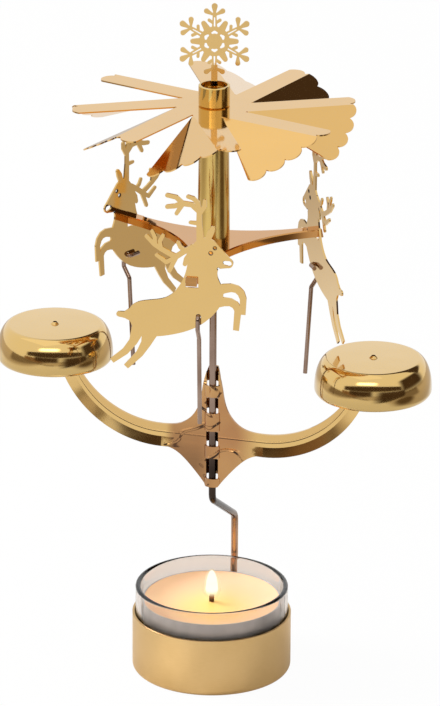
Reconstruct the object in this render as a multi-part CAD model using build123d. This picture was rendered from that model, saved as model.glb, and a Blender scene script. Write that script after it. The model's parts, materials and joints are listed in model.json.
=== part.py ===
"""Candle-driven rotary chime: a cup with a tealight, a bent rod with two bells, and a turning
carrier with three reindeer, an eight-blade impeller and a snowflake. Sizes in millimetres.
Origin at the centre of the cup's underside, +Z up, bells along X, rod foot at +Y."""
import math
import os

from build123d import *

# sheet and wire stock
sheet = 0.5
wire_radius = 0.6
slip = 0.03

# base cup
cup_radius = 22.0
cup_wall = 0.6
cup_height = 16.6
cup_corner = 1.6

# glass cup
glass_gap = 0.25
glass_wall = 1.4
glass_floor = 3.0
glass_rise = 4.0
glass_rim_share = 0.45

# tealight
tealight_gap = 0.75
tealight_foil = 0.3
tealight_height = 17.0
tealight_corner = 0.9
wax_drop = 0.8
wax_gap = 0.04
pool_depth = 0.7
pool_bank = 3.0
pool_rise = 0.2
wick_radius = 0.6
wick_show = 2.8
foot_radius = 6.5
foot_sheet = 0.3
foot_neck = 3.0

# stand rod
rod_radius = 1.0
rod_low_end = 1.2
rod_clearance = 11.8
rod_jog = 13.5
rod_bend_radius = 3.0
cup_strap_levels = (2.4, 10.0)
cup_strap_height = 4.0

# bell arm
arm_sheet = 0.8
arm_foot = 3.5
arm_drop = 41.6
arm_spine = 35.6
arm_curve_offset = 14.5
arm_outer_curve = 30.6
arm_top_half = 1.3
arm_root_width = 6.4
arm_tip_width = 3.4
arm_flange_depth = 0.6
arm_flange_share = 0.42
arm_flange_fade = 6.5
arm_middle_fullness = 0.6
arm_lower_bow = ((0.564, 0.745), (0.329, 0.41), (0.161, 0.127))
arm_upper_bow = ((0.181, 0.725), (0.295, 0.319), (0.55, 0.077))
arm_slot_half = 1.7
arm_strap_sheet = 0.56
front_straps = ((0.6, 3.0), (9.1, 12.6), (17.1, 22.3), (27.1, 30.4))
rear_straps = ((3.9, 8.2), (13.5, 16.2), (23.2, 26.2), (31.3, 35.6))

# bells
bell_radius = 16.0
bell_height = 9.8
bell_sheet = 0.6
bell_lift = 1.7
bell_overhang = 0.1
bell_flat = 12.9
bell_shoulder = 7.0
rivet_shank = 0.8
rivet_head = 1.25
rivet_rise = 0.7
rivet_eye = 0.55
rivet_eye_depth = 1.1
rivet_room = 0.4
pad_sheet = 0.8
pad_radius = 2.6

# turning spindle
spindle_length = 37.6
disc_rise = 0.4
tube_low_radius = 4.45
tube_high_radius = 3.95
tube_wall = 0.4
neck_radius = 3.55
neck_rise = 4.4
collar_radius = 4.25
collar_rise = 6.1
collar_bevel = 0.35
plug_mouth = 2.4
plug_head = 3.4
plug_slot_depth = 2.4
cone_half_angle = 50.0
point_half_angle = 25.0

# impeller
blade_count = 8
blade_sheet = 0.4
blade_reach = 38.3
lobes_per_blade = 5
lobe_radius = 3.1
slit_root = 10.3
slit_width = 0.5
slit_phase_angle = 27.5
fold_rim_angle = 10.0
fold_bend_angle = 29.0

# carrier star
figure_count = 3
figure_phase_angle = 35.0
figure_radius = 29.6
star_valley = 8.5
star_depth = 2.1
star_shoulder = 1.7
tab_width = 3.0
tab_overrun = 0.6
tab_root = 3.0
flap_length = 2.4
flap_lean_angle = 12.0
star_bevel = 0.3

# reindeer
figure_depth = 25.95
hoof_clearance = 1.8
slot_width = 3.5
slot_height = 3.1
striker_eye = (1.8, -9.6)
eye_radius = 0.72

# strikers
striker_gap = 1.7
striker_lean = 1.5
striker_below = 3.7
striker_bend = 0.9
striker_tail = 3.4
striker_stand_off = 0.35
striker_leg = 3.6
striker_knee_drop = 3.0

# snowflake
flake_rise = 18.7
flake_span = 21.3
flake_facing_angle = 16.0
flake_ring = 4.1
flake_stem_width = 1.7
flake_stem_start = 6.6


def polar(radius, angle):
    turn = math.radians(angle)
    return radius * math.cos(turn), radius * math.sin(turn)


def limb(*stations):
    """Tapered band with round ends through stations (x, y, half width)."""
    shape = Sketch()
    for (xa, ya, ra), (xb, yb, rb) in zip(stations, stations[1:]):
        ends = Pos(xa, ya) * Circle(ra) + Pos(xb, yb) * Circle(rb)
        shape += make_hull(ends.edges())
    return shape


def leg(*stations):
    """Limb whose last end is cut square, as a hoof."""
    (xa, ya, ra), (xb, yb, rb) = stations[-2:]
    length = math.hypot(xb - xa, yb - ya)
    across = Vector(ya - yb, xb - xa) * (rb / length)
    hoof = Line(Vector(xb, yb) - across, Vector(xb, yb) + across)
    shank = make_hull([*(Pos(xa, ya) * Circle(ra)).edges(), *hoof.edges()])
    return limb(*stations[:-1]) + shank


def turned(*profile):
    """Solid of revolution about Z from a closed outline (radius, height)."""
    return revolve(make_face(Plane.XZ * Polyline(*profile, close=True)), Axis.Z)


def arm_strap(low, high, side):
    """Band of the arm pressed out round the rod, in front of it (-1) or behind it (+1)."""
    outer = arm_slot_half + arm_strap_sheet
    ring = Ellipse(outer, strap_inner + arm_strap_sheet) - Ellipse(arm_slot_half, strap_inner)
    half = ring & (Pos(0, side * outer / 2) * Rectangle(2 * outer, outer))
    return extrude(Plane.XY.offset(arm_low_tip + low) * half, high - low)


os.makedirs("parts", exist_ok=True)

# levels, stacked from the table up
tealight_low = cup_wall + glass_floor
foil_top = tealight_low + tealight_height
wax_level = foil_top - wax_drop
wick_top = wax_level + wick_show
glass_top = foil_top + glass_rise
rod_low_bend = glass_top + rod_clearance
rod_high_bend = rod_low_bend + rod_jog
arm_low_tip = rod_high_bend + arm_foot
arm_top_tip = arm_low_tip + arm_spine
arm_curve_height = arm_low_tip + arm_drop
bell_top = arm_curve_height + bell_lift
bell_rim = bell_top - bell_height
plate_top = bell_top + hoof_clearance + figure_depth + slot_height / 2
slot_centre = plate_top - slot_height / 2
pivot_height = plate_top + spindle_length
disc_level = pivot_height + disc_rise

# base cup: drawn sheet cup with two straps pressed out of its back wall round the rod
rod_offset = cup_radius + rod_radius + slip
strap_inner = rod_radius + slip
strap_outer = strap_inner + cup_wall
cup_outside = Cylinder(cup_radius, cup_height, align=(Align.CENTER, Align.CENTER, Align.MIN))
cup_outside = fillet(cup_outside.edges().sort_by(Axis.Z)[0], cup_corner)
cup_inner_radius = cup_radius - cup_wall
cup_inside = Cylinder(cup_inner_radius, cup_height, align=(Align.CENTER, Align.CENTER, Align.MIN))
cup_inside = fillet(cup_inside.edges().sort_by(Axis.Z)[0], cup_corner - cup_wall)
base_cup = cup_outside - Pos(0, 0, cup_wall) * cup_inside
strap_reach = rod_offset - cup_inner_radius
for level in cup_strap_levels:
    outline = Pos(0, rod_offset) * Circle(strap_outer)
    outline += Pos(0, rod_offset - strap_reach / 2) * Rectangle(2 * strap_outer, strap_reach)
    channel = Pos(0, rod_offset) * Circle(strap_inner)
    channel += Pos(0, rod_offset - strap_reach) * Rectangle(2 * strap_inner, 2 * strap_reach)
    band = extrude(Plane.XY.offset(level) * outline, cup_strap_height)
    band -= Cylinder(cup_inner_radius, 4 * cup_height)
    base_cup += band
    base_cup -= extrude(Plane.XY.offset(level) * channel, cup_strap_height)
export_step(base_cup, "parts/base_cup.step")

# glass cup with a thick floor and a rounded rim
glass_radius = cup_inner_radius - glass_gap
glass_inner = glass_radius - glass_wall
glass_low = cup_wall
glass_cup = Pos(0, 0, glass_low) * Cylinder(
    glass_radius, glass_top - glass_low, align=(Align.CENTER, Align.CENTER, Align.MIN))
glass_cup = fillet(glass_cup.edges().sort_by(Axis.Z)[0], cup_corner)
glass_cup -= Pos(0, 0, tealight_low) * Cylinder(
    glass_inner, glass_top, align=(Align.CENTER, Align.CENTER, Align.MIN))
glass_cup = fillet(glass_cup.edges().group_by(Axis.Z)[-1], glass_wall * glass_rim_share)
export_step(glass_cup, "parts/glass_cup.step")

# tealight: foil cup, wax with a hollow round the wick, sustainer and wick
foil_radius = glass_inner - tealight_gap
foil_inner = foil_radius - tealight_foil
tealight_cup = Pos(0, 0, tealight_low) * Cylinder(
    foil_radius, tealight_height, align=(Align.CENTER, Align.CENTER, Align.MIN))
tealight_cup = fillet(tealight_cup.edges().sort_by(Axis.Z)[0], tealight_corner)
tealight_cup -= Pos(0, 0, tealight_low + tealight_foil) * Cylinder(
    foil_inner, tealight_height, align=(Align.CENTER, Align.CENTER, Align.MIN))
export_step(tealight_cup, "parts/tealight_cup.step")

foot_low = tealight_low + tealight_foil
foot_top = foot_low + foot_sheet
neck_outer = wick_radius + slip + foot_sheet
wick_sustainer = turned(
    (wick_radius + slip, foot_low), (foot_radius, foot_low), (foot_radius, foot_top),
    (neck_outer, foot_top), (neck_outer, foot_top + foot_neck), (wick_radius + slip, foot_top + foot_neck))
export_step(wick_sustainer, "parts/wick_sustainer.step")

wick = Pos(0, 0, foot_low) * Cylinder(
    wick_radius, wick_top - foot_low, align=(Align.CENTER, Align.CENTER, Align.MIN))
wick = fillet(wick.edges().sort_by(Axis.Z)[-1], wick_radius * 0.6)
export_step(wick, "parts/wick.step")

wax_radius = foil_inner - wax_gap
wax_hole = wick_radius + wax_gap
neck_room = neck_outer + wax_gap
neck_roof = foot_top + foot_neck + wax_gap
wax_outline = Polyline(
    (wax_radius, wax_level + pool_depth), (wax_radius, foot_low), (foot_radius + wax_gap, foot_low),
    (foot_radius + wax_gap, foot_top + wax_gap), (neck_room, foot_top + wax_gap),
    (neck_room, neck_roof), (wax_hole, neck_roof), (wax_hole, wax_level + pool_rise))
pool_curve = Spline(
    (wax_hole, wax_level + pool_rise), (wax_hole + pool_bank, wax_level), (wax_radius - pool_bank, wax_level),
    (wax_radius, wax_level + pool_depth))
tealight_wax = revolve(make_face(Plane.XZ * (wax_outline + pool_curve)), Axis.Z)
export_step(tealight_wax, "parts/tealight_wax.step")

# stand rod: one wire from the cup's straps over the cup to a point in the bearing
rod_line = FilletPolyline(
    (0, rod_offset, rod_low_end), (0, rod_offset, rod_low_bend), (0, 0, rod_high_bend),
    (0, 0, pivot_height), radius=rod_bend_radius)
stand_rod = sweep(Plane.XY.offset(rod_low_end) * Pos(0, rod_offset) * Circle(rod_radius), rod_line)
point_length = rod_radius / math.tan(math.radians(point_half_angle))
sharpener = turned(
    (0, pivot_height), (rod_radius * 2, pivot_height),
    (rod_radius * 2, pivot_height - 2 * point_length))
stand_rod -= sharpener
export_step(stand_rod, "parts/stand_rod.step")

# bell arm: crescent with a flanged lower edge, diamond middle, straps round the rod, folded pads
arm_root_curve = arm_outer_curve - arm_root_width
arm_tip_curve = arm_outer_curve - arm_tip_width
arm_tip_inner = arm_curve_offset + arm_tip_curve
arm_tip_outer = arm_curve_offset + arm_outer_curve
arm_root_low = arm_curve_height - arm_outer_curve
arm_root_top = arm_curve_height - arm_root_curve
bell_centre = arm_tip_outer + bell_overhang
pad_top = bell_top - bell_sheet
pad_low = pad_top - pad_sheet
middle_x, middle_z = polar((arm_root_curve + arm_tip_curve) / 2 - arm_middle_fullness, -45)
arm_edges = Polyline(
    (arm_tip_inner, arm_curve_height), (arm_tip_inner, pad_top), (arm_tip_outer, pad_top),
    (arm_tip_outer, arm_curve_height))
arm_edges += CenterArc((arm_curve_offset, arm_curve_height), arm_outer_curve, -90, 90)
lower_bow = [
    (arm_curve_offset * out, arm_low_tip + (arm_root_low - arm_low_tip) * up) for out, up in arm_lower_bow]
upper_bow = [
    (arm_curve_offset * out, arm_root_top + (arm_top_tip - arm_root_top) * up) for out, up in arm_upper_bow]
arm_edges += Spline(
    (arm_curve_offset, arm_root_low), *lower_bow, (0, arm_low_tip), tangents=((-1, 0), (-1, 0)))
arm_edges += Polyline((0, arm_low_tip), (0, arm_top_tip), (arm_top_half, arm_top_tip))
arm_edges += Spline(
    (arm_top_half, arm_top_tip), *upper_bow, (arm_curve_offset, arm_root_top), tangents=((0.3, -1), (1, 0)))
arm_edges += ThreePointArc(
    (arm_curve_offset, arm_root_top),
    (arm_curve_offset + middle_x, arm_curve_height + middle_z), (arm_tip_inner, arm_curve_height))
arm_face = make_face(Plane.XZ * arm_edges)
half_plate = extrude(arm_face, arm_sheet / 2, both=True)
arm_block = extrude(arm_face, 2 * arm_slot_half, both=True)
arm_block += mirror(arm_block, Plane.YZ)

# the lower edge of each side is creased forward and fades out in the middle
flange_width = arm_root_width * arm_flange_share
crease = arm_root_low + flange_width
plate_front = -arm_sheet / 2
plate_rear = arm_sheet / 2
flange_edge = Polyline(
    (plate_front, crease), (plate_rear, crease), (plate_rear - arm_flange_depth, arm_root_low),
    (plate_front - arm_flange_depth, arm_root_low), close=True)
flange_plane = Plane(origin=(arm_curve_offset, 0, 0), x_dir=(0, 1, 0), z_dir=(1, 0, 0))
curve_axis = Axis((arm_curve_offset, 0, arm_curve_height), (0, -1, 0))
flange = revolve(flange_plane * make_face(flange_edge), curve_axis, 90)
flange_zone = Plane.XZ * Pos(arm_curve_offset, arm_curve_height) * (
    Circle(arm_outer_curve + arm_sheet) - Circle(arm_outer_curve - flange_width))
outer_quarter = Pos(arm_curve_offset + bell_centre / 2, arm_curve_height - bell_centre / 2)
flange_zone &= Plane.XZ * outer_quarter * Rectangle(bell_centre, bell_centre)
half_plate -= extrude(flange_zone, arm_sheet, both=True)
half_plate += flange
fade_start = Polyline(
    (plate_front, crease), (plate_rear, crease), (plate_rear, arm_root_low),
    (plate_front - arm_flange_depth, arm_root_low), close=True)
fade_end = Polyline(
    (plate_front, crease), (plate_rear, crease), (plate_rear, arm_root_low), (plate_front, arm_root_low),
    close=True)
fade_plane = Plane(origin=(arm_flange_fade, 0, 0), x_dir=(0, 1, 0), z_dir=(1, 0, 0))
half_plate += loft([flange_plane * make_face(fade_start), fade_plane * make_face(fade_end)])
pad = Plane.XY.offset(pad_low) * limb(
    (arm_tip_inner + arm_flange_depth, 0, pad_radius), (bell_centre, 0, pad_radius))
half_plate += extrude(pad, pad_sheet)
half_plate -= Pos(bell_centre, 0, pad_low) * Cylinder(
    rivet_head + rivet_room, rivet_rise + rivet_room, align=(Align.CENTER, Align.CENTER, Align.MAX))
half_plate -= Pos(bell_centre, 0, pad_low) * Cylinder(rivet_shank + slip, 4 * pad_sheet)
bell_arm = half_plate + mirror(half_plate, Plane.YZ)
bell_arm -= Pos(0, 0, arm_top_tip) * Box(2 * arm_slot_half, 4 * arm_sheet, 2 * arm_spine + arm_foot)
for low, high in front_straps:
    bell_arm += arm_strap(low, high, -1) & arm_block
for low, high in rear_straps:
    bell_arm += arm_strap(low, high, 1) & arm_block
export_step(bell_arm, "parts/bell_arm.step")

# bells: flat tops with an elliptical shoulder and a straight skirt
def bell_form(inset):
    """Full body of the bell, its surface moved inward by inset."""
    top = bell_top - inset
    brim = bell_radius - inset
    skirt_top = bell_top - bell_shoulder
    edges = Polyline((brim, skirt_top), (brim, bell_rim), (0, bell_rim), (0, top), (bell_flat, top))
    edges += EllipticalCenterArc(
        (bell_flat, skirt_top), bell_radius - bell_flat - inset, bell_shoulder - inset,
        start_angle=0, arc_size=90)
    return revolve(Plane.XZ * make_face(edges), Axis.Z)


bell = bell_form(0) - bell_form(bell_sheet)
bell -= Pos(0, 0, bell_top) * Cylinder(rivet_shank + slip, 4)
rivet_low = pad_low - rivet_rise
dome_radius = (rivet_head ** 2 + rivet_rise ** 2) / (2 * rivet_rise)
rivet = Pos(0, 0, bell_top + rivet_rise - dome_radius) * Sphere(dome_radius)
rivet &= Pos(0, 0, bell_top) * Cylinder(rivet_head, 2, align=(Align.CENTER, Align.CENTER, Align.MIN))
rivet += turned(
    (0, rivet_low), (rivet_head * 0.8, rivet_low), (rivet_head, pad_low), (rivet_shank, pad_low),
    (rivet_shank, bell_top), (0, bell_top))
rivet -= Pos(0, 0, bell_top + rivet_rise) * Cylinder(rivet_eye, 2 * rivet_eye_depth)
for side, name in ((-1, "left"), (1, "right")):
    export_step(Pos(side * bell_centre, 0, 0) * bell, f"parts/bell_{name}.step")
    export_step(Pos(side * bell_centre, 0, 0) * rivet, f"parts/bell_rivet_{name}.step")

# spindle tube: tapered, necked at both ends to hold the carrier below and the impeller above
foot_neck_radius = tube_low_radius - tube_wall
peen_radius = tube_low_radius + tube_wall
star_under = plate_top - sheet
tube_shoulder = disc_level
neck_top = disc_level + neck_rise
low_bore = foot_neck_radius - tube_wall
neck_bore = neck_radius - tube_wall
spindle_tube = turned(
    (low_bore, star_under - sheet), (peen_radius, star_under - sheet), (peen_radius, star_under),
    (foot_neck_radius, star_under), (foot_neck_radius, plate_top), (tube_low_radius, plate_top),
    (tube_high_radius, tube_shoulder), (neck_radius, tube_shoulder), (neck_radius, neck_top),
    (neck_bore, neck_top), (neck_bore, tube_shoulder - tube_wall),
    (tube_high_radius - tube_wall, tube_shoulder - 2 * tube_wall), (low_bore, plate_top + tube_wall))
export_step(spindle_tube, "parts/spindle_tube.step")

# bearing plug: hollow cone below for the rod's point, slot above for the snowflake's stem
plug_radius = neck_bore - slip
plug_low = pivot_height - plug_mouth
plug_top = pivot_height + plug_head
cone_apex = pivot_height + slip
cone_mouth = (cone_apex - plug_low) * math.tan(math.radians(cone_half_angle))
bearing_plug = turned(
    (0, cone_apex), (cone_mouth, plug_low), (plug_radius, plug_low), (plug_radius, plug_top), (0, plug_top))
stem_slot_half = flake_stem_width / 2 + slip
plug_slot_floor = plug_top - plug_slot_depth
bearing_plug -= Rot(0, 0, flake_facing_angle) * Pos(0, 0, plug_slot_floor) * Box(
    2 * stem_slot_half, sheet + 2 * slip, 2 * plug_slot_depth, align=(Align.CENTER, Align.CENTER, Align.MIN))
export_step(bearing_plug, "parts/bearing_plug.step")

# top collar: open ring pressed over the tube's neck, clamping the impeller
collar_low = disc_level + blade_sheet
collar_top = disc_level + collar_rise
collar_bore = neck_radius + slip
top_collar = turned(
    (collar_bore, collar_low), (collar_radius - collar_bevel, collar_low),
    (collar_radius, collar_low + collar_bevel), (collar_radius, collar_top - collar_bevel / 2),
    (collar_radius - collar_bevel / 2, collar_top), (collar_bore, collar_top))
export_step(top_collar, "parts/top_collar.step")

# impeller: lobed disc slit into blades, each folded down along a diagonal line
pitch = 360 / blade_count
lobe_pitch = pitch / lobes_per_blade
lobe_circle = blade_reach - lobe_radius
rim = Circle(lobe_circle)
for index in range(blade_count * lobes_per_blade):
    rim += Pos(*polar(lobe_circle, slit_phase_angle + (index + 0.5) * lobe_pitch)) * Circle(lobe_radius)
slit_length = 2 * (blade_reach - slit_root)
flats = rim - Circle(neck_radius + slip)
impeller = Part()
for index in range(blade_count):
    edge = slit_phase_angle + index * pitch
    slit = Rot(0, 0, edge) * Pos(slit_root + slit_length / 2, 0) * Rectangle(slit_length, slit_width)
    flats -= slit
    fold_start = polar(slit_root, edge)
    fold_end = polar(blade_reach, edge + pitch - fold_rim_angle)
    far_edge = polar(2 * blade_reach, edge)
    fold_x, fold_y = fold_end[0] - fold_start[0], fold_end[1] - fold_start[1]
    beyond = (fold_start[0] + 2 * fold_x, fold_start[1] + 2 * fold_y)
    flap_zone = make_face(Polyline(fold_start, beyond, far_edge, close=True))
    flap = (rim & flap_zone) - slit
    flats -= flap_zone
    blade = extrude(Plane.XY.offset(disc_level) * flap, blade_sheet)
    fold_axis = Axis((*fold_start, disc_level + blade_sheet), (fold_x, fold_y, 0))
    impeller += blade.rotate(fold_axis, fold_bend_angle)
impeller += extrude(Plane.XY.offset(disc_level) * flats, blade_sheet)
export_step(impeller, "parts/impeller.step")

# carrier star: three arms with down-turned edges, each ending in a channel tab with a bent end flap
figure_pitch = 360 / figure_count
figure_angles = [figure_phase_angle + index * figure_pitch for index in range(figure_count)]
shoulder_reach = figure_radius - slip
star_edges = Curve()
for angle in figure_angles:
    half = math.degrees(math.atan2(star_shoulder, shoulder_reach))
    reach = math.hypot(star_shoulder, shoulder_reach)
    star_edges += Line(polar(reach, angle - half), polar(reach, angle + half))
    star_edges += ThreePointArc(
        polar(reach, angle + half), polar(star_valley, angle + figure_pitch / 2),
        polar(reach, angle + figure_pitch - half))
star_face = make_face(star_edges)
star_low = plate_top - star_depth
carrier_star = extrude(Plane.XY.offset(star_low) * star_face, star_depth)
carrier_star = chamfer(carrier_star.edges().group_by(Axis.Z)[-1], star_bevel)
hollow = offset(star_face, -sheet)
carrier_star -= extrude(Plane.XY.offset(star_low) * hollow, star_depth - sheet)
tab_reach = figure_radius + sheet + tab_overrun
tab_start = figure_radius - tab_root
for angle in figure_angles:
    tab = Pos((tab_start + tab_reach) / 2, 0, plate_top - star_depth / 2) * Box(
        tab_reach - tab_start, tab_width, star_depth)
    tab -= Pos((tab_start + tab_reach) / 2, 0, star_low) * Box(
        tab_reach - tab_start, tab_width - 2 * sheet, 2 * (star_depth - sheet))
    tab += Pos(tab_reach, 0, plate_top) * Rot(0, -flap_lean_angle, 0) * Box(
        sheet, tab_width, flap_length, align=(Align.MAX, Align.CENTER, Align.MAX))
    carrier_star += Rot(0, 0, angle) * tab
carrier_star -= Pos(0, 0, plate_top) * Cylinder(foot_neck_radius + slip, 4 * star_depth)
export_step(carrier_star, "parts/carrier_star.step")

# reindeer: leaping figure in flat sheet, drawn from the centre of its slot, x forward and y up
torso = Spline(
    (-17.2, -9.4), (-15.8, -7.3), (-12.8, -6.1), (-6.7, -4.6), (-3.4, -1.2), (-1.4, 4.0), (-0.4, 9.2),
    (2.1, 12.6))
torso += Polyline((2.1, 12.6), (4.4, 12.9), (5.9, 12.1), (10.4, 7.3))
torso += ThreePointArc((10.4, 7.3), (11.1, 5.7), (9.6, 4.7))
torso += Polyline((9.6, 4.7), (7.2, 4.3))
torso += Spline(
    (7.2, 4.3), (7.0, 1.8), (8.1, -0.8), (8.3, -4.6), (6.2, -8.4), (1.2, -12.7), (-5.9, -15.4),
    (-11.6, -16.2), (-16.2, -15.4))
torso += Spline((-16.2, -15.4), (-16.4, -13.2), (-17.2, -11.4), (-17.2, -9.4))
figure = make_face(torso)
figure += leg(
    (5.8, -2.4, 1.5), (8.6, -1.2, 1.3), (10.6, -0.8, 1.15), (12.2, -1.1, 1.05), (13.3, -2.1, 1.0),
    (13.9, -3.7, 0.9), (13.8, -8.2, 0.75))
figure += leg(
    (5.8, -5.4, 1.6), (8.6, -4.9, 1.25), (10.4, -4.9, 1.1), (11.8, -5.6, 1.05), (12.5, -7.0, 0.95),
    (12.0, -12.8, 0.8))
figure += leg((-11.2, -14.4, 2.3), (-12.4, -18.2, 1.35), (-14.2, -21.4, 1.0), (-17.9, -25.4, 0.75))
figure += leg((-14.6, -14.4, 1.8), (-15.9, -18.0, 1.15), (-18.1, -21.0, 0.95), (-21.8, -24.0, 0.75))
figure += limb((-16.2, -10.4, 1.9), (-18.0, -10.6, 0.95), (-19.8, -10.5, 0.75))
figure += limb((4.2, 12.2, 0.8), (5.0, 14.3, 0.9), (5.6, 15.6, 0.6))
figure += limb((0.2, 8.8, 0.8), (-1.4, 6.4, 0.8), (-1.9, 5.0, 0.6))
antler = limb((2.2, 12.0, 1.0), (1.9, 16.9, 0.75), (1.9, 20.0, 0.7))
antler += limb((1.9, 20.0, 0.7), (-0.1, 21.8, 0.7), (-2.6, 22.0, 0.75), (-4.8, 21.1, 0.65), (-6.7, 20.8, 0.6))
antler += limb((-2.6, 22.0, 0.7), (-4.3, 23.6, 0.65), (-6.7, 24.0, 0.6))
antler += limb((-2.7, 21.7, 0.7), (-4.2, 19.1, 0.55))
antler += limb((1.9, 20.0, 0.7), (1.5, 22.4, 0.65), (0.3, 23.6, 0.6), (-1.1, 24.0, 0.55))
antler += limb((2.0, 19.6, 0.7), (3.3, 21.5, 0.6), (3.4, 23.0, 0.55))
antler += limb((1.6, 16.7, 0.6), (-0.5, 16.8, 0.45))
antler += limb((0.4, 9.9, 0.9), (-2.3, 8.4, 0.75), (-4.3, 6.9, 0.75))
antler += limb(
    (-4.3, 6.9, 0.75), (-6.4, 7.8, 0.7), (-8.4, 8.9, 0.7), (-10.2, 10.0, 0.65), (-12.3, 12.1, 0.55))
antler += limb((-8.4, 8.9, 0.6), (-8.7, 11.0, 0.55), (-7.9, 12.6, 0.5))
antler += limb((-10.0, 10.1, 0.6), (-10.1, 12.1, 0.55), (-10.8, 13.6, 0.5))
antler += limb((-4.5, 6.7, 0.6), (-7.0, 5.2, 0.6), (-9.6, 7.0, 0.5))
antler += limb((-4.3, 6.9, 0.7), (-5.4, 4.4, 0.6), (-6.1, 2.8, 0.55))
antler += limb((-2.0, 8.7, 0.6), (-3.2, 9.7, 0.55), (-3.8, 10.9, 0.5))
figure += antler
figure -= Pos(6.2, 10.1) * Circle(0.45)
figure -= Pos(5.1, 8.6) * Circle(0.5)
figure -= limb((9.0, 6.1, 0.6), (10.0, 6.0, 0.72))
figure -= Pos(7.2, 4.3) * Circle(0.35)
drawn_depth = -figure.bounding_box().min.Y
figure = scale(figure, figure_depth / drawn_depth)
figure -= Rectangle(slot_width, slot_height)
figure -= Pos(*striker_eye) * Circle(eye_radius)
figure_names = ("right", "left", "front")
for angle, name in zip(figure_angles, figure_names):
    face_out = Plane(
        origin=(*polar(figure_radius, angle), slot_centre), x_dir=(*polar(1, angle + 90), 0),
        z_dir=(*polar(1, angle), 0))
    export_step(extrude(face_out * figure, sheet), f"parts/reindeer_{name}.step")

# strikers: wire with a tail on the figure's inner face, through its eye, down and inward
eye_along, eye_up = striker_eye
inner_line = figure_radius - striker_stand_off - wire_radius
outer_line = figure_radius + sheet + striker_stand_off + wire_radius
eye_level = slot_centre + eye_up
striker_end = bell_rim - striker_below
striker_end_radius = bell_centre - bell_radius - striker_gap
striker_knee_radius = striker_end_radius + striker_lean
knee_level = eye_level - striker_leg
striker_line = FilletPolyline(
    (inner_line, eye_along - striker_tail, eye_level), (inner_line, eye_along, eye_level),
    (outer_line, eye_along, eye_level), (outer_line, eye_along, knee_level),
    (striker_knee_radius, eye_along, knee_level - striker_knee_drop),
    (striker_end_radius, eye_along, striker_end), radius=striker_bend)
wire_start = Plane(origin=striker_line @ 0, z_dir=striker_line % 0)
striker = sweep(wire_start * Circle(wire_radius), striker_line)
for angle, name in zip(figure_angles, figure_names):
    export_step(Rot(0, 0, angle) * striker, f"parts/striker_{name}.step")

# snowflake: six feathered rays, six short rays, pierced middle, and a stem down into the plug
ray = limb((3.4, 0, 0.75), (7.4, 0, 0.5))
ray += limb((7.3, 0, 0.35), (8.3, 0, 0.42), (9.8, 0, 0.8))
for side in (-1, 1):
    ray += limb((7.3, 0, 0.3), (7.75, side * 0.9, 0.36), (8.45, side * 2.15, 0.68))
    ray += limb((4.9, 0, 0.35), (5.9, side * 1.45, 0.42))
ray -= limb((4.0, 0, 0.22), (6.6, 0, 0.16))
short_ray = limb((2.6, 0, 1.1), (5.8, 0, 0.65))
flake = Circle(flake_ring)
for index in range(6):
    flake += Rot(0, 0, 90 + 60 * index) * ray
    flake += Rot(0, 0, 60 * index) * short_ray
for index in range(6):
    flake -= Rot(0, 0, 90 + 60 * index) * limb((2.35, -0.55, 0.32), (2.6, 0, 0.45), (2.35, 0.55, 0.32))
flake = scale(flake, flake_span / flake.bounding_box().size.Y)
flake_centre = pivot_height + flake_rise
stem_length = flake_centre - plug_slot_floor
flake += Pos(0, -(stem_length + flake_stem_start) / 2) * Rectangle(
    flake_stem_width, stem_length - flake_stem_start)
flake_face = Plane(
    origin=(0, 0, flake_centre), x_dir=(*polar(1, flake_facing_angle), 0),
    z_dir=(*polar(1, flake_facing_angle - 90), 0))
snowflake = extrude(flake_face * flake, sheet / 2, both=True)
export_step(snowflake, "parts/snowflake.step")
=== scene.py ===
"""Candle-driven rotary chime with reindeer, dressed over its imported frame. Lengths in metres."""
import json
import math

import bmesh
import bpy
from mathutils import Matrix, Vector


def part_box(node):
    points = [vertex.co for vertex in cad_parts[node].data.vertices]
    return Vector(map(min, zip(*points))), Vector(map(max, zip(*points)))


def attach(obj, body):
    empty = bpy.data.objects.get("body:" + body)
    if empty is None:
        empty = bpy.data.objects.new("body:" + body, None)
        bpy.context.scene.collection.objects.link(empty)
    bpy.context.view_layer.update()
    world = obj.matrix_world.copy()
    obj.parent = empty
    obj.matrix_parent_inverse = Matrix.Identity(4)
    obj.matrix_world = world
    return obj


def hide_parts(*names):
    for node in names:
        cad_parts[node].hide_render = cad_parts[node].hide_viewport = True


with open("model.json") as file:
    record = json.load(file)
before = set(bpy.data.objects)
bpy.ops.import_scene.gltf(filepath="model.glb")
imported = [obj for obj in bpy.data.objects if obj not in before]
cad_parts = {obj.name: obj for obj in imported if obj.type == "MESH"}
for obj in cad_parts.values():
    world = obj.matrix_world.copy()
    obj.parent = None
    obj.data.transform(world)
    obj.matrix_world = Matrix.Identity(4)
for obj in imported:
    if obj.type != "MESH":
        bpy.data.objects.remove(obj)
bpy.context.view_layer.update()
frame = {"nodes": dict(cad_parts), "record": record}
nodes = frame["nodes"]
scene = bpy.context.scene
mm = 0.001

# camera, from the photograph's ellipses
view_azimuth = math.radians(15.87)
view_elevation = math.radians(20.93)
view_roll = math.radians(0.31)
view_distance = 1578.2 * mm
view_target = Vector((1.85, 0.53, 93.04)) * mm
lens_length = 294.8
sensor_length = 36.0
view_right = Vector((math.cos(view_azimuth), math.sin(view_azimuth), 0))
view_near = Vector((math.sin(view_azimuth), -math.cos(view_azimuth), 0))

# candle
wax_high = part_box("tealight_wax")[1]
wick_low, wick_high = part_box("wick")
wax_radius = wax_high.x
wick_radius = wick_high.x
flame_height = 9.9 * mm
flame_width = 4.5 * mm
flame_base = wick_high.z - 1.9 * mm
braid_strands = 3
braid_twist = 2.5 * mm
braid_bend = 2.8 * mm
curl = view_near * braid_bend
glow_middle = curl * 1.6

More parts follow.
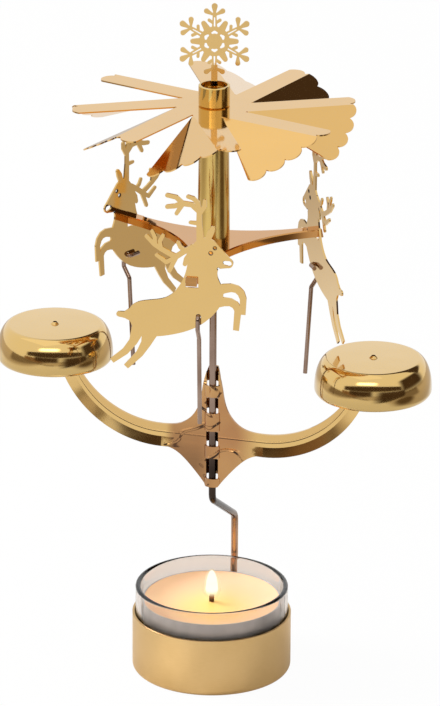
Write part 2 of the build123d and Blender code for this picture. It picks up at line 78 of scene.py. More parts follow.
# bells: section over the solids' top, height and widest radius
bell_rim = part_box("bell_left")[0].z
bell_flat = 12.4 * mm
bell_lip = 1.2 * mm
bell_tuck = 0.5 * mm
bell_sheet = 0.6 * mm
bell_hole = 0.83 * mm
shoulder_steps = 32
lip_steps = 6
bell_steps = 128
bell_crease = math.radians(40)

# pressed middle of the bells' arm and the groove along its face
press_reach = 14 * mm
press_middle = 67 * mm
arm_turn_offset = 14.5 * mm
arm_turn_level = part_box("bell_arm")[0].z + 41.6 * mm
arm_groove = 27.0 * mm

# reindeer: turn about the axis, slot's level above the lowest hoof
# and the punched marks of the face, each ringed with painted shade, as (along, up, reach) in mm from the
# slot
figure_turns = {"right": math.radians(35), "left": math.radians(155), "front": math.radians(275)}
figure_depth = 25.95 * mm
face_marks = ((6.2, 10.1, 0.60), (5.1, 8.6, 0.65), (8.9, 6.2, 0.55), (7.2, 4.3, 0.45))

# studio, in metres to the right of the axis and nearer than it
table_left = (-0.42, -0.32)
table_right = (0.16, 0.28)
table_back = (-0.34, -0.18)
table_front = (0.59, 0.68)
table_glare = (0.05, 0.14)
lamp_pool = (-0.034, 0.036)
pool_reach = (0.004, 0.03)
table_shade = (0.40, 0.20)
shade_reach = (0.09, 0.20)
side_shade = 0.75
side_shade_aside = (0.40, 0.56)
side_shade_near = (-0.10, 0.0)
far_shade_aside = (0.03, 0.09)
far_shade_start = (0.57, 0.66)
far_shade_end = (0.68, 0.80)
surround_reach = 4.0
lamp_aim = Vector((0, 0, 90)) * mm


class Value:
    """A number in a node tree; arithmetic on it adds Math nodes."""

    def __init__(self, tree, socket):
        self.tree = tree
        self.socket = socket

    def maths(self, operation, first, second=0.0):
        node = self.tree.node("ShaderNodeMath", {"operation": operation}, {0: first, 1: second})
        return Value(self.tree, node.outputs[0])

    def __add__(self, other):
        return self.maths("ADD", self, other)

    __radd__ = __add__

    def __sub__(self, other):
        return self.maths("SUBTRACT", self, other)

    def __rsub__(self, other):
        return self.maths("SUBTRACT", other, self)

    def __mul__(self, other):
        return self.maths("MULTIPLY", self, other)

    __rmul__ = __mul__

    def __truediv__(self, other):
        return self.maths("DIVIDE", self, other)

    def __pow__(self, other):
        return self.maths("POWER", self, other)

    def between(self, low, high):
        """0 at low and 1 at high, eased and held beyond both."""
        node = self.tree.node("ShaderNodeMapRange", {"interpolation_type": "SMOOTHSTEP"}, {
            0: self, 1: low, 2: high, 3: 0.0, 4: 1.0})
        return Value(self.tree, node.outputs[0])


class Tree:
    """A node tree under construction."""

    def node(self, kind, settings=None, sockets=None):
        made = self.tree.nodes.new(kind)
        for key, setting in (settings or {}).items():
            if key == "stops":
                ramp = made.color_ramp
                while len(ramp.elements) < len(setting):
                    ramp.elements.new(1.0)
                for element, (place, colour) in zip(ramp.elements, setting):
                    element.position = place
                    element.color = colour
            else:
                setattr(made, key, setting)
        for key, given in (sockets or {}).items():
            target = made.inputs[key]
            if isinstance(given, Value):
                given = given.socket
            if isinstance(given, bpy.types.NodeSocket):
                self.tree.links.new(given, target)
            else:
                target.default_value = given
        return made

    def axes(self, vector):
        parts = self.node("ShaderNodeSeparateXYZ", None, {0: vector})
        return [Value(self, socket) for socket in parts.outputs]

    def vector(self, x, y, z):
        return self.node("ShaderNodeCombineXYZ", None, {0: x, 1: y, 2: z}).outputs[0]


class Finish(Tree):
    """A material, world or stage surface built from nodes."""

    def __init__(self, name, owner=None):
        self.owner = owner or bpy.data.materials.new(name)
        self.owner.use_nodes = True
        self.tree = self.owner.node_tree
        self.tree.nodes.clear()

    def place(self):
        return self.node("ShaderNodeTexCoord").outputs["Object"]

    def around(self, vector):
        """Distance from the upright axis, turn about it as a share, and height."""
        x, y, z = self.axes(vector)
        turn = x.maths("ARCTAN2", y, x) / math.tau
        return (x * x + y * y) ** 0.5, turn, z

    def noise(self, vector, size, detail=2.0):
        """Cloudy value from 0 to 1 with features of about that size in metres."""
        made = self.node("ShaderNodeTexNoise", None, {
            "Vector": vector, "Scale": 1 / size, "Detail": detail})
        return Value(self, made.outputs["Fac"])

    def colours(self, amount, *stops):
        """Colour from a ramp of (place, red, green, blue)."""
        listed = [(place, (*colour, 1.0)) for place, *colour in stops]
        return self.node("ShaderNodeValToRGB", {"stops": listed}, {0: amount}).outputs["Color"]

    def blend(self, amount, first, second):
        """Colour between two others."""
        made = self.node("ShaderNodeMix", {"data_type": "RGBA"}, {0: amount, 6: first, 7: second})
        return made.outputs[2]

    def bump(self, height, depth, strength=1.0):
        made = self.node("ShaderNodeBump", None, {
            "Height": height, "Distance": depth, "Strength": strength})
        return made.outputs["Normal"]

    def surface(self, **sockets):
        shader = self.node("ShaderNodeBsdfPrincipled", None, sockets)
        self.end(shader.outputs[0])
        return self.owner

    def end(self, shader):
        is_world = isinstance(self.owner, bpy.types.World)
        kind = "ShaderNodeOutputWorld" if is_world else "ShaderNodeOutputMaterial"
        self.node(kind, None, {"Surface": shader})


class Shape(Tree):
    """A Geometry Nodes tree with named sizes, turned into a plain mesh."""

    def __init__(self, name, **sizes):
        self.name = name
        self.sizes = sizes
        self.tree = bpy.data.node_groups.new(name, "GeometryNodeTree")
        sockets = self.tree.interface.new_socket
        sockets("Geometry", in_out="OUTPUT", socket_type="NodeSocketGeometry")
        self.keys = {}
        for size in sizes:
            self.keys[size] = sockets(size, in_out="INPUT", socket_type="NodeSocketFloat").identifier
        self.given = self.tree.nodes.new("NodeGroupInput")

    def size(self, name):
        return Value(self, self.given.outputs[name])

    def mesh(self, geometry, finish):
        real = self.node("GeometryNodeRealizeInstances", None, {0: geometry})
        painted = self.node("GeometryNodeSetMaterial", None, {0: real.outputs[0], "Material": finish})
        self.node("NodeGroupOutput", None, {0: painted.outputs[0]})
        holder = bpy.data.objects.new(self.name, bpy.data.meshes.new(self.name))
        scene.collection.objects.link(holder)
        modifier = holder.modifiers.new(self.name, "NODES")
        modifier.node_group = self.tree
        for size, key in self.keys.items():
            modifier[key] = self.sizes[size]
        evaluated = holder.evaluated_get(bpy.context.evaluated_depsgraph_get())
        mesh = bpy.data.meshes.new_from_object(evaluated)
        holder.modifiers.remove(modifier)
        bpy.data.objects.remove(holder)
        return mesh


def shades(colour, *factors):
    """The colour made lighter or darker, one ramp stop for each factor."""
    count = len(factors) - 1
    return [
        (index / count, *(part * factor for part in colour)) for index, factor in enumerate(factors)]


def polished_metal(name, colour, grain, sheen, lacquer, wave, painted_shade=None, pressed=None, punched=None):
    """Lacquered mirror metal: cloudy tint, wiped haze, polishing marks and slow waves.

    Optional masks give a share of darker tint by place, painted as shade; a relief with the shares of a
    tint browned by the flame, partly painted reflection, and of a darker tint that is painted reflection;
    and a share of painted shade round punched holes.
    """
    finish = Finish(name)
    place = finish.place()
    axes = x, y, z = finish.axes(place)
    cloud = finish.noise(place, 14 * mm, 3.0)
    wiped = finish.noise(finish.vector(x * 0.35 + y * 0.2, y, z * 2.2), 4 * mm, 4.0)
    hairs = finish.noise(finish.vector(x * 9.0, y * 9.0, z * 0.6), grain, 3.0)
    waves = finish.noise(place, 13 * mm, 1.0)
    tint = finish.colours(cloud, *shades(colour, 0.955, 1.0, 1.035))
    height = hairs * 0.0006 * mm + waves * wave
    if painted_shade:
        # darker tint by place: painted shade
        shaded_tint = finish.colours(cloud, *shades(colour, 0.72, 0.76, 0.80))
        tint = finish.blend(painted_shade(*axes), tint, shaded_tint)
    if pressed:
        relief, heat_and_painted_reflection, painted_dark_reflection = pressed(finish, *axes)
        height = height + relief
        # tint browned by the flame, partly painted reflection
        browned = finish.colours(cloud, *shades(heat_and_shade_gold, 0.85, 1.0, 1.15))
        tint = finish.blend(heat_and_painted_reflection, tint, browned)
        # darker tint: painted reflection
        dark_reflection_tint = finish.colours(wiped, *shades(heat_and_shade_gold, 0.35, 0.55, 0.8))
        tint = finish.blend(painted_dark_reflection * 0.8, tint, dark_reflection_tint)
    if punched:
        # near-black tint: painted shade round punched holes
        painted_hole_shade = finish.colours(wiped, *shades(heat_and_shade_gold, 0.04, 0.08, 0.16))
        tint = finish.blend(punched(*axes), tint, painted_hole_shade)
    return finish.surface(**{
        "Base Color": tint, "Metallic": 1.0, "Roughness": sheen * 0.7 + sheen * 0.7 * wiped,
        "Normal": finish.bump(height, 1.0), "Coat Weight": lacquer - 0.1 * wiped, "Coat Roughness": 0.03})


def bell_rim_shade(x, y, z):
    """Painted shade: darker towards the rim."""
    return 1 - z.between(bell_rim + 1 * mm, bell_rim + 6 * mm)


def punched_face(side):
    """Painted shade round the edges of the eyes, nostril and chin that are punched through a reindeer's
    head.
    """
    turn = figure_turns[side]
    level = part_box("reindeer_" + side)[0].z + figure_depth

    def painted_hole_shade(x, y, z):
        along = y * math.cos(turn) - x * math.sin(turn)
        share = 0.0
        for mark_along, mark_up, reach in face_marks:
            off_along = along - mark_along * mm
            off_up = z - level - mark_up * mm
            ring = (off_along * off_along + off_up * off_up) ** 0.5
            share = 1 - ring.between(reach * 0.9 * mm, reach * 1.1 * mm) + share
        return share

    return painted_hole_shade


def arm_pressing(finish, x, y, z):
    """Wavy creases across the arm's middle, browned by the flame below it and partly by painted reflection,
    its lower left darkened by painted reflection, and a groove along its face.
    """
    middle = x.between(-press_reach, press_reach * -0.75)
    middle = middle * (1 - x.between(press_reach * 0.4, press_reach * 1.1))
    field = finish.noise(finish.vector(x * 0.45, y, z), 8 * mm, 0.6) - 0.48
    creases = field.maths("ABSOLUTE", field).between(0.0, 0.045)
    leaning = (x * 0.05 - (z - press_middle) * 0.06) * (1 - x.between(-1 * mm, 1 * mm))
    drop = arm_turn_level - z
    aside = x.maths("ABSOLUTE", x) - arm_turn_offset
    aside = aside.maths("MAXIMUM", aside, 0.0)
    ring = (aside * aside + drop * drop) ** 0.5 - arm_groove
    groove = 1 - ring.maths("ABSOLUTE", ring).between(0.05 * mm, 0.32 * mm)
    warm = 0.16 * (1 - ring.between(-0.3 * mm, 0.3 * mm))
    # browning over the middle, from the flame below and partly painted reflection, paler towards the top
    paler_above = 0.6 * z.between(press_middle + 10 * mm, press_middle + 26 * mm)
    heat_and_painted_reflection = middle * (1 - paler_above) * (0.9 + 0.5 * field)
    # lower left of the middle: painted dark reflection
    side = 1 - x.between(-5 * mm, 2 * mm)
    side = side * (1 - z.between(press_middle - 6 * mm, press_middle + 8 * mm))
    relief = middle * (creases * 0.24 * mm + leaning) - groove * 0.07 * mm
    return relief, heat_and_painted_reflection.maths("MAXIMUM", heat_and_painted_reflection, warm), middle * side


def satin_metal():
    """Satin cup: fine brushing round the wall, slightly darker towards the foot."""
    finish = Finish("satin_gold_cup")
    place = finish.place()
    radius, turn, height = finish.around(place)
    brushing = finish.noise(finish.vector(turn * 0.03, radius, height * 4.0), 0.5 * mm, 4.0)
    cloud = finish.noise(place, 11 * mm, 3.0)
    foot = 1 - height.between(0.5 * mm, 9 * mm)
    tone = cloud * 0.6 + brushing * 0.4 - foot * 0.12
    tint = finish.colours(
        tone, (0.2, 0.60, 0.385, 0.155), (0.5, 0.69, 0.465, 0.205), (0.8, 0.74, 0.51, 0.24))
    rough = 0.3 + 0.12 * brushing + 0.06 * cloud
    return finish.surface(**{
        "Base Color": tint, "Metallic": 1.0, "Roughness": rough,
        "Normal": finish.bump(brushing, 0.006 * mm, 0.5)})


def drawn_wire():
    """Steel wire: lengthwise drawing marks, a brownish tint from the flame, lighter near the candle as
    painted flame light, and a near-black band of painted shade by the arm.
    """
    finish = Finish("drawn_steel_wire")
    place = finish.place()
    x, y, z = finish.axes(place)
    marks = finish.noise(finish.vector(x * 6.0, y * 6.0, z * 0.25), 1.2 * mm, 4.0)
    cloud = finish.noise(place, 9 * mm, 3.0)
    tone = cloud * 0.75 + marks * 0.25
    cool = finish.colours(
        tone, (0.25, 0.21, 0.135, 0.10), (0.5, 0.31, 0.215, 0.165), (0.8, 0.41, 0.305, 0.245))
    # lighter and warmer near the candle: tint browned by the flame, partly painted flame light
    heated_and_flame_lit = finish.colours(
        tone, (0.25, 0.40, 0.235, 0.145), (0.5, 0.56, 0.35, 0.225), (0.8, 0.68, 0.46, 0.315))
    tint = finish.blend(z.between(34 * mm, 60 * mm), heated_and_flame_lit, cool)
    # near-black band by and below the arm: painted shade
    painted_shade_band = z.between(29 * mm, 43 * mm) * (1 - z.between(58 * mm, 82 * mm))
    shade_black = finish.colours(tone, (0.25, 0.02, 0.014, 0.011), (0.8, 0.075, 0.052, 0.04))
    tint = finish.blend(painted_shade_band, tint, shade_black)
    return finish.surface(**{
        "Base Color": tint, "Metallic": 1.0, "Roughness": 0.15 + 0.10 * marks,
        "Normal": finish.bump(marks, 0.003 * mm, 0.5)})


def clear_glass():
    """Pressed clear glass with a slow ripple in its wall."""
    finish = Finish("clear_glass")
    place = finish.place()
    ripple = finish.noise(place, 12 * mm, 2.0)
    tint = finish.colours(ripple, (0.2, 0.775, 0.69, 0.625), (0.8, 0.83, 0.745, 0.685))
    return finish.surface(**{
        "Base Color": tint, "Roughness": 0.012 + 0.012 * ripple,
        "IOR": 1.5, "Transmission Weight": 1.0,
        "Normal": finish.bump(ripple, 0.06 * mm, 0.4)})


def drawn_foil():
    """Thin aluminium with upright draw marks and small dents."""
    finish = Finish("drawn_foil")
    place = finish.place()
    radius, turn, height = finish.around(place)
    marks = finish.noise(finish.vector(turn * 0.05, radius * 0.3, height * 0.12), 1.6 * mm, 3.0)
    dents = finish.noise(place, 8 * mm, 2.0)
    tone = marks * 0.4 + dents * 0.6
    tint = finish.colours(
        tone, (0.3, 0.47, 0.51, 0.55), (0.5, 0.63, 0.68, 0.74), (0.7, 0.78, 0.83, 0.90))
    return finish.surface(**{
        "Base Color": tint, "Metallic": 0.9, "Roughness": 0.38 + 0.10 * marks,
        "Normal": finish.bump(marks * 0.6 + dents, 0.05 * mm, 0.5)})


def melted_wax():
    """Candle wax lit from within: yellow by the wick, peach at the wall."""
    finish = Finish("melted_wax")
    place = finish.place()
    x, y, z = finish.axes(place)
    off_x = x - glow_middle.x
    off_y = y - glow_middle.y
    reach = (off_x * off_x + off_y * off_y) ** 0.5 / wax_radius
    mottle = finish.noise(place, 6 * mm, 4.0)
    ring = reach + (mottle - 0.5) * 0.16
    tint = finish.colours(
        ring, (0.05, 0.92, 0.68, 0.22), (0.4, 0.92, 0.67, 0.28),
        (0.75, 0.93, 0.66, 0.40), (1.0, 0.94, 0.66, 0.45))
    glow = finish.colours(
        ring, (0.02, 0.70, 0.43, 0.09), (0.3, 0.62, 0.36, 0.11),
        (0.65, 0.66, 0.35, 0.15), (1.0, 0.66, 0.35, 0.15))
    return finish.surface(**{
        "Base Color": tint, "Roughness": 0.24 + 0.14 * mottle, "IOR": 1.43, "Subsurface Weight": 0.25,
        "Subsurface Radius": (0.004, 0.0022, 0.0012), "Subsurface Scale": 1.0,
        "Emission Color": glow, "Emission Strength": 0.55,
        "Normal": finish.bump(mottle, 0.05 * mm, 0.3)})


def charred_cotton():
    """Braided wick: pale at the wax, charred above, an ember at the tip."""
    finish = Finish("charred_cotton")
    place = finish.place()
    x, y, z = finish.axes(place)
    fibres = finish.noise(finish.vector(x * 3.0, y * 3.0, z), 0.35 * mm, 4.0)
    rise = (z - wax_high.z).between(-1.2 * mm, 1.8 * mm) + (fibres - 0.5) * 0.25
    tint = finish.colours(
        rise, (0.1, 0.30, 0.17, 0.07), (0.3, 0.05, 0.025, 0.014),
        (0.6, 0.014, 0.009, 0.007), (1.0, 0.02, 0.012, 0.01))
    ember = finish.colours(
        rise, (0.0, 0.10, 0.03, 0.0), (0.4, 0.02, 0.0, 0.0),
        (0.7, 0.16, 0.02, 0.0), (0.95, 0.5, 0.08, 0.01))
    return finish.surface(**{
        "Base Color": tint, "Roughness": 0.75 + 0.2 * fibres, "Specular IOR Level": 0.1,
        "Emission Color": ember, "Emission Strength": 0.5,
        "Normal": finish.bump(fibres, 0.08 * mm, 0.8)})


def burning_gas(name, colours, cover, strength):
    """Flame shell: colour and cover run with the height above the flame's foot."""
    finish = Finish(name)
    place = finish.place()
    x, y, z = finish.axes(place)
    flicker = finish.noise(place, 2.5 * mm, 2.0)
    rise = (z - flame_base) / flame_height + (flicker - 0.5) * 0.06
    cover = finish.colours(rise, *((place, *(amount,) * 3) for place, amount in cover))
    return finish.surface(**{
        "Base Color": (0.0, 0.0, 0.0, 1.0), "Roughness": 1.0, "Specular IOR Level": 0.0,
        "Emission Color": finish.colours(rise, *colours), "Emission Strength": strength, "Alpha": cover})


# finishes of the CAD nodes, by the record's material slots
sheet_gold = (0.72, 0.475, 0.172)
star_gold = (0.61, 0.305, 0.095)
blade_gold = (0.745, 0.458, 0.152)
# brown base for the flame-browned tint, the painted dark reflection and the painted shade round holes
heat_and_shade_gold = (0.44, 0.212, 0.080)
bell_gold = (0.74, 0.495, 0.170)
tube_gold = (0.69, 0.475, 0.140)
sheet_look = (0.8 * mm, 0.07, 0.5, 0.05 * mm)
finishes = {
    "sheet_gold": polished_metal("polished_sheet_gold", sheet_gold, *sheet_look),
    "tube_gold": polished_metal("polished_tube_gold", tube_gold, 0.5 * mm, 0.13, 0.4, 0.02 * mm),
    "satin_gold": satin_metal(),
    "steel_wire": drawn_wire(),
    "clear_glass": clear_glass(),
    "aluminium": drawn_foil(),
    "wax": melted_wax(),
    "cotton": charred_cotton(),
}
for entry in frame["record"]["subparts"]:
    node = nodes[entry["node"]]
    node.data.materials.clear()
    node.data.materials.append(finishes[entry["material_slot"]])
nodes["bell_arm"].data.materials[0] = polished_metal(
    "pressed_sheet_gold", sheet_gold, 0.8 * mm, 0.08, 0.5, 0.12 * mm, pressed=arm_pressing)
nodes["carrier_star"].data.materials[0] = polished_metal(
    "shaded_sheet_gold", star_gold, 0.8 * mm, 0.08, 0.35, 0.08 * mm)
nodes["impeller"].data.materials[0] = polished_metal("polished_blade_gold", blade_gold, *sheet_look)
for side in figure_turns:
    nodes["reindeer_" + side].data.materials[0] = polished_metal(
        "reindeer_%s_gold" % side, sheet_gold, *sheet_look, punched=punched_face(side))
# bells: the tint darkens towards the rim as painted shade
spun_gold = polished_metal(
    "spun_bell_gold", bell_gold, 0.8 * mm, 0.09, 0.7, 0.22 * mm, painted_shade=bell_rim_shade)


def mesh_piece(name, mesh, finish, body):
    piece = bpy.data.objects.new(name, mesh)
    scene.collection.objects.link(piece)
    mesh.materials.clear()
    mesh.materials.append(finish)
    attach(piece, body)
    return piece


def lathe(name, profile, centre, steps=48, hollow=False):
    """Turned mesh from (radius, height) pairs, from axis to axis or round a hollow wall."""
    form = bmesh.new()
    turns = [math.tau * step / steps for step in range(steps)]
    rings = []
    for radius, height in profile:
        if radius == 0:
            rings.append([form.verts.new((centre.x, centre.y, height))])
            continue
        ring = []
        for turn in turns:
            spot = centre.x + radius * math.cos(turn), centre.y + radius * math.sin(turn), height
            ring.append(form.verts.new(spot))
        rings.append(ring)
    following = rings[1:] + rings[:1] if hollow else rings[1:]
    for low, high in zip(rings, following):
        for step in range(steps):
            after = (step + 1) % steps
            if len(low) == 1:
                form.faces.new((low[0], high[after], high[step]))
            elif len(high) == 1:
                form.faces.new((low[step], low[after], high[0]))
            else:
                form.faces.new((low[step], low[after], high[after], high[step]))
    for face in form.faces:
        face.smooth = True
    mesh = bpy.data.meshes.new(name)
    form.to_mesh(mesh)
    form.free()
    return mesh


def bell_wall(low, high, inset):
    """Half section of a bell, from its flat top down a flaring side to a short lip, set in by the inset."""
    top = high.z - inset
    widest = low.z + bell_lip
    swell = (high.x - low.x) / 2 - bell_flat - inset
    wall = []
    for index in range(shoulder_steps + 1):
        turn = math.pi / 2 * (1 - index / shoulder_steps)
        wall.append((bell_flat + swell * math.cos(turn), widest + (top - widest) * math.sin(turn)))
    for index in range(1, lip_steps + 1):
        part = index / lip_steps
        wall.append((bell_flat + swell - bell_tuck * part ** 2, widest - bell_lip * part))
    return wall


for side in ("left", "right"):
    low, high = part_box("bell_" + side)
    section = [(bell_hole, high.z - bell_sheet)] + bell_wall(low, high, bell_sheet)
    section += bell_wall(low, high, 0)[::-1] + [(bell_hole, high.z)]
    bell_form = lathe("bell_dome_" + side, section, (low + high) / 2, bell_steps, True)
    bell_form.set_sharp_from_angle(angle=bell_crease)
    bell_dome = mesh_piece("bell_dome_" + side, bell_form, spun_gold, "stand")
    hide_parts("bell_" + side)


def flame_profile(width, height, foot, points=22):
    """Teardrop: round below, drawn in to a blunt tip above."""
    profile = [(0, foot)]
    for index in range(1, points):
        share = index / points
        swell = (1 - share ** 3.0) ** 0.6 * min(1, share / 0.35) ** 0.5
        profile.append((0.5 * width * swell, foot + height * share))
    profile.append((0, foot + height))
    return profile


core_colours = (
    (0.0, 1.0, 0.70, 0.25), (0.2, 1.0, 0.88, 0.50), (0.4, 1.0, 0.98, 0.90), (1.0, 1.0, 0.97, 0.82))
core_cover = (0.0, 0.0), (0.16, 0.05), (0.34, 0.95), (0.9, 1.0), (1.0, 0.9)
core_finish = burning_gas("flame_core", core_colours, core_cover, 1.3)
veil_colours = (
    (0.0, 1.0, 0.62, 0.20), (0.3, 1.0, 0.84, 0.45), (0.7, 1.0, 0.90, 0.58), (1.0, 1.0, 0.72, 0.42))
veil_cover = (0.0, 0.0), (0.16, 0.04), (0.36, 0.30), (0.6, 0.40), (1.0, 0.25)
veil_finish = burning_gas("flame_veil", veil_colours, veil_cover, 1.0)
core_profile = flame_profile(flame_width * 0.8, flame_height * 0.93, flame_base)
core_form = lathe("flame_core", core_profile, curl)
veil_profile = flame_profile(flame_width * 1.15, flame_height, flame_base - 0.3 * mm)
veil_form = lathe("flame_veil", veil_profile, curl)
for shell in (
        mesh_piece("flame_core", core_form, core_finish, "tealight"),
        mesh_piece("flame_veil", veil_form, veil_finish, "tealight")):
    shell.visible_shadow = False


def braided_wick():
    """Twisted strands from the wick's foot, curling towards the front above the wax."""
    height = wick_high.z - wick_low.z - 0.3 * mm
    shape = Shape(
        "wick_braid", radius=wick_radius * 0.66, strand=wick_radius * 0.6, height=height,
        foot=wick_low.z, turns=height / braid_twist, bend_x=curl.x, bend_y=curl.y)
    joined = shape.node("GeometryNodeJoinGeometry")
    for index in range(braid_strands):
        helix = shape.node("GeometryNodeCurveSpiral", None, {
            "Resolution": 20, "Rotations": shape.size("turns"), "Start Radius": shape.size("radius"),
            "End Radius": shape.size("radius"), "Height": shape.size("height")})
        turned = shape.node("GeometryNodeTransform", None, {
            0: helix.outputs[0], "Rotation": (0, 0, math.tau * index / braid_strands)})
        shape.tree.links.new(turned.outputs[0], joined.inputs[0])
    x, y, z = shape.axes(shape.node("GeometryNodeInputPosition").outputs[0])
    lean = (z / shape.size("height")) ** 4.5
    offset = shape.vector(
        lean * shape.size("bend_x"), lean * shape.size("bend_y"), shape.size("foot"))
    bent = shape.node("GeometryNodeSetPosition", None, {0: joined.outputs[0], "Offset": offset})
    section = shape.node("GeometryNodeCurvePrimitiveCircle", None, {
        "Resolution": 8, "Radius": shape.size("strand")})
    tube = shape.node("GeometryNodeCurveToMesh", None, {
        0: bent.outputs[0], 1: section.outputs[0], "Fill Caps": True})
    smooth = shape.node("GeometryNodeSetShadeSmooth", None, {0: tube.outputs[0]})
    return shape.mesh(smooth.outputs[0], finishes["cotton"])


wick_braid = mesh_piece("wick_braid", braided_wick(), finishes["cotton"], "tealight")
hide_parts("wick")


# stage: pale table, dim room round it for the metal to mirror, soft lamps
def stage_card(name, corners, finish):
    mesh = bpy.data.meshes.new(name)
    mesh.from_pydata(corners, [], [tuple(range(len(corners)))])
    card = bpy.data.objects.new(name, mesh)
    scene.collection.objects.link(card)
    mesh.materials.append(finish)
    return card


def on_stage(right, near, height):
    return view_right * right + view_near * near + Vector((0, 0, height))


table = Finish("pale_table")
light_path = table.node("ShaderNodeLightPath")
seen = Value(table, light_path.outputs["Is Camera Ray"])
mirrored = Value(table, light_path.outputs["Is Glossy Ray"])
through = Value(table, light_path.outputs["Is Transmission Ray"])
place = table.place()
x, y, z = table.axes(place)
right = x * view_right.x + y * view_right.y
near = x * view_near.x + y * view_near.y
grain = table.noise(place, 30 * mm, 2.0)
on_table = right.between(*table_left) * (1 - right.between(*table_right))
on_table = on_table * near.between(*table_back) * (1 - near.between(*table_front))
paper = table.colours(grain, (0.0, 0.93, 0.93, 0.925), (1.0, 0.96, 0.96, 0.955))
lit = table.node("ShaderNodeBsdfDiffuse", None, {"Color": paper})
white = table.node("ShaderNodeEmission", None, {"Color": (1, 1, 1, 1), "Strength": 1.0})
off_right, off_near = right - table_shade[0], near - table_shade[1]
shade = 1 - ((off_right * off_right + off_near * off_near) ** 0.5).between(*shade_reach)
aside = right.maths("ABSOLUTE", right)
at_sides = side_shade * aside.between(*side_shade_aside) * near.between(*side_shade_near)
shade = shade.maths("MAXIMUM", shade, at_sides)
far_off = aside.between(*far_shade_aside) * near.between(*far_shade_start)
shade = shade.maths("MAXIMUM", shade, far_off * (1 - near.between(*far_shade_end)))
dimmed = table.colours(shade, (0.0, 0.62, 0.56, 0.50), (1.0, 0.13, 0.09, 0.055))
dim = table.node("ShaderNodeEmission", None, {"Color": dimmed, "Strength": 1.0})
reach = (right * right + near * near) ** 0.5
glare = mirrored * (0.25 + 0.65 * reach.between(*table_glare))
glare = glare.maths("MAXIMUM", glare, through * 0.4)
off_right, off_near = right - lamp_pool[0], near - lamp_pool[1]
pool = 1 - ((off_right * off_right + off_near * off_near) ** 0.5).between(*pool_reach)
bright = table.node("ShaderNodeMixShader", None, {
    0: seen * 0.97 + (1 - seen) * glare, 1: lit.outputs[0], 2: white.outputs[0]})
beyond = table.node("ShaderNodeMixShader", None, {
    0: mirrored * (1 - on_table) * (1 - seen), 1: bright.outputs[0], 2: dim.outputs[0]})
lamp_lit = table.node("ShaderNodeEmission", None, {"Color": (1, 0.98, 0.95, 1), "Strength": 1.6})
table.end(table.node("ShaderNodeMixShader", None, {
    0: mirrored * pool * (1 - seen) * 0.8, 1: beyond.outputs[0], 2: lamp_lit.outputs[0]}).outputs[0])
stage_card("table", [
    on_stage(-surround_reach, -surround_reach, 0), on_stage(-surround_reach, surround_reach, 0),
    on_stage(surround_reach, surround_reach, 0), on_stage(surround_reach, -surround_reach, 0)], table.owner)


def room_panel(name, start, end, low, high, fade, *tones):
    """Upright panel between two floor points, fading out at its edges, seen only in metal."""
    panel = Finish(name)
    place = panel.place()
    x, y, z = panel.axes(place)
    first, last = on_stage(*start, 0), on_stage(*end, 0)
    length = (last - first).length
    way = (last - first) / length
    along = (x - first.x) * way.x + (y - first.y) * way.y
    rise = (z - low) / (high - low)
    run = along / length
    cover = run.between(0, fade) * (1 - run.between(1 - fade, 1))
    cover = cover * rise.between(0, fade) * (1 - rise.between(1 - fade, 1))
    tone = panel.colours(panel.noise(place, 0.4, 2.0), *tones)
    clear = panel.node("ShaderNodeBsdfTransparent")
    solid = panel.node("ShaderNodeEmission", None, {"Color": tone, "Strength": 1.0})
    faded = panel.node("ShaderNodeMixShader", None, {
        0: cover, 1: clear.outputs[0], 2: solid.outputs[0]})
    panel.end(faded.outputs[0])
    corners = [
        on_stage(*start, low), on_stage(*end, low), on_stage(*end, high), on_stage(*start, high)]
    card = stage_card(name, corners, panel.owner)
    card.visible_camera = False
    card.visible_diffuse = False
    card.visible_shadow = False
    card.visible_transmission = False


shadow = (0.0, 0.045, 0.03, 0.02), (1.0, 0.09, 0.058, 0.038)
wood = (0.3, 0.20, 0.12, 0.07), (0.7, 0.34, 0.22, 0.14)
lamp_cloth = (0.0, 3.6, 3.5, 3.3), (1.0, 4.2, 4.1, 3.9)
room_panel("room_front_low", (-0.42, 0.41), (0.06, 0.41), 0.07, 0.146, 0.16, *shadow)
room_panel("room_front_right", (-0.01, 0.40), (0.90, 0.40), -0.05, 0.155, 0.20, *shadow)
room_panel("room_front", (-1.2, 0.68), (1.2, 0.68), 0.165, 0.36, 0.10, *shadow)
room_panel("room_front_left", (-1.3, 0.66), (-0.30, 0.66), 0.02, 0.15, 0.12, *wood)
room_panel("room_right", (0.75, 0.6), (0.75, -0.4), 0.0, 0.62, 0.25, *shadow)
room_panel("room_back_right", (-0.4, -1.7), (3.0, -0.9), 0.9, 2.8, 0.15, *shadow)
room_panel("front_lamp", (-0.75, 0.95), (0.25, 0.95), 0.50, 0.80, 0.25, *lamp_cloth)

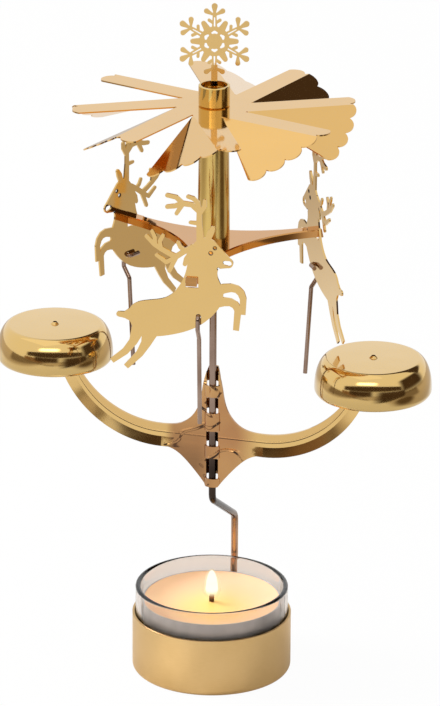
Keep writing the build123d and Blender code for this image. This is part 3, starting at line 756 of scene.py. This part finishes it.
world = bpy.data.worlds.new("studio")
scene.world = world
sky = Finish("studio", world)
sky_path = sky.node("ShaderNodeLightPath")
direct = Value(sky, sky_path.outputs["Is Camera Ray"])
direct = direct + Value(sky, sky_path.outputs["Is Glossy Ray"])
direct = direct + Value(sky, sky_path.outputs["Is Transmission Ray"])
soft = sky.node("ShaderNodeBackground", None, {"Color": (1.0, 0.985, 0.965, 1), "Strength": 0.45})
blank = sky.node("ShaderNodeBackground", None, {"Color": (1, 1, 1, 1), "Strength": 1.0})
sky.end(sky.node("ShaderNodeMixShader", None, {
    0: direct.maths("MINIMUM", direct, 1.0), 1: soft.outputs[0], 2: blank.outputs[0]}).outputs[0])


def soft_lamp(name, watts, width, depth, position, colour, in_metal):
    lamp = bpy.data.lights.new(name, "AREA")
    lamp.shape = "RECTANGLE"
    lamp.energy = watts
    lamp.size = width
    lamp.size_y = depth
    lamp.color = colour
    holder = bpy.data.objects.new(name, lamp)
    scene.collection.objects.link(holder)
    holder.location = position
    holder.rotation_mode = "QUATERNION"
    holder.rotation_quaternion = (lamp_aim - position).to_track_quat("-Z", "Y")
    holder.visible_glossy = in_metal


soft_lamp("lamp_over", 0.55, 1.2, 0.86, on_stage(-0.25, 0.1, 1.1), (1.0, 0.985, 0.96), True)
soft_lamp("lamp_left", 14.0, 0.5, 0.6, on_stage(-0.95, -0.2, 0.6), (1.0, 0.98, 0.95), False)

camera_data = bpy.data.cameras.new("camera")
camera = bpy.data.objects.new("camera", camera_data)
scene.collection.objects.link(camera)
camera_data.lens = lens_length
camera_data.sensor_width = sensor_length
camera_data.clip_start = 0.01
camera_data.clip_end = 50.0
back = view_near * math.cos(view_elevation) + Vector((0, 0, math.sin(view_elevation)))
level_up = back.cross(view_right)
image_right = view_right * math.cos(view_roll) + level_up * math.sin(view_roll)
image_up = level_up * math.cos(view_roll) - view_right * math.sin(view_roll)
turned = Matrix((image_right, image_up, back)).transposed()
camera.rotation_mode = "QUATERNION"
camera.rotation_quaternion = turned.to_quaternion()
camera.location = view_target + back * view_distance
scene.camera = camera
scene.view_settings.view_transform = "Standard"
